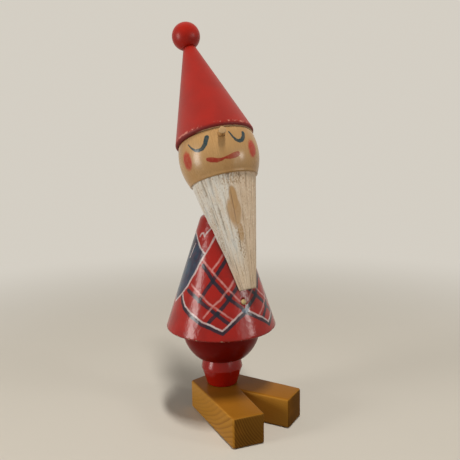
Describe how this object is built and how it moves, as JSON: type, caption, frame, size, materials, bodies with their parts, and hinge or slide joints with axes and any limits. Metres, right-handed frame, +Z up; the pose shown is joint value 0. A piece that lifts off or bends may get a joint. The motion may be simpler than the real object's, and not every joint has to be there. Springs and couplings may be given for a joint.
{
  "type": "tomte gnome figurine",
  "caption": "Standing wooden gnome with a tall red hat, carved beard and plaid coat, stacked on dowels so that the body turns on its splayed feet and the head turns on the coat.",
  "frame": {"origin": "on the floor, under the axis of the leg", "axes": "+Z up along the leg; the feet point towards -Y; +X is the figure's left"},
  "size_m": [0.0558, 0.073, 0.1981],
  "materials": {
    "lacquered_pine": "clear lacquer over pine",
    "bare_dowel": "bare beech",
    "red_paint": "glossy red paint on wood",
    "plaid_coat_paint": "glossy red paint with a hand-painted plaid",
    "yellow_button": "dull yellow paint",
    "honey_wood": "clear lacquer, with worn white paint on the beard"
  },
  "bodies": {
    "feet": {"feet_block": "lacquered_pine"},
    "body": {"leg": "red_paint", "leg_dowel": "bare_dowel", "hips": "red_paint", "coat": "plaid_coat_paint", "button": "yellow_button", "neck_dowel": "bare_dowel"},
    "head": {"head": "honey_wood", "nose": "honey_wood", "hat_dowel": "bare_dowel", "hat": "red_paint", "ball_pin": "bare_dowel", "ball": "red_paint"}
  },
  "joints": [
    {"name": "body_turn", "type": "hinge", "parent": "feet", "child": "body", "pos_m": [0, 0, 0.0147], "axis": [0, 0, 1], "continuous": true},
    {"name": "head_turn", "type": "hinge", "parent": "body", "child": "head", "pos_m": [0, 0, 0.1021], "axis": [0, 0, 1], "continuous": true}
  ]
}
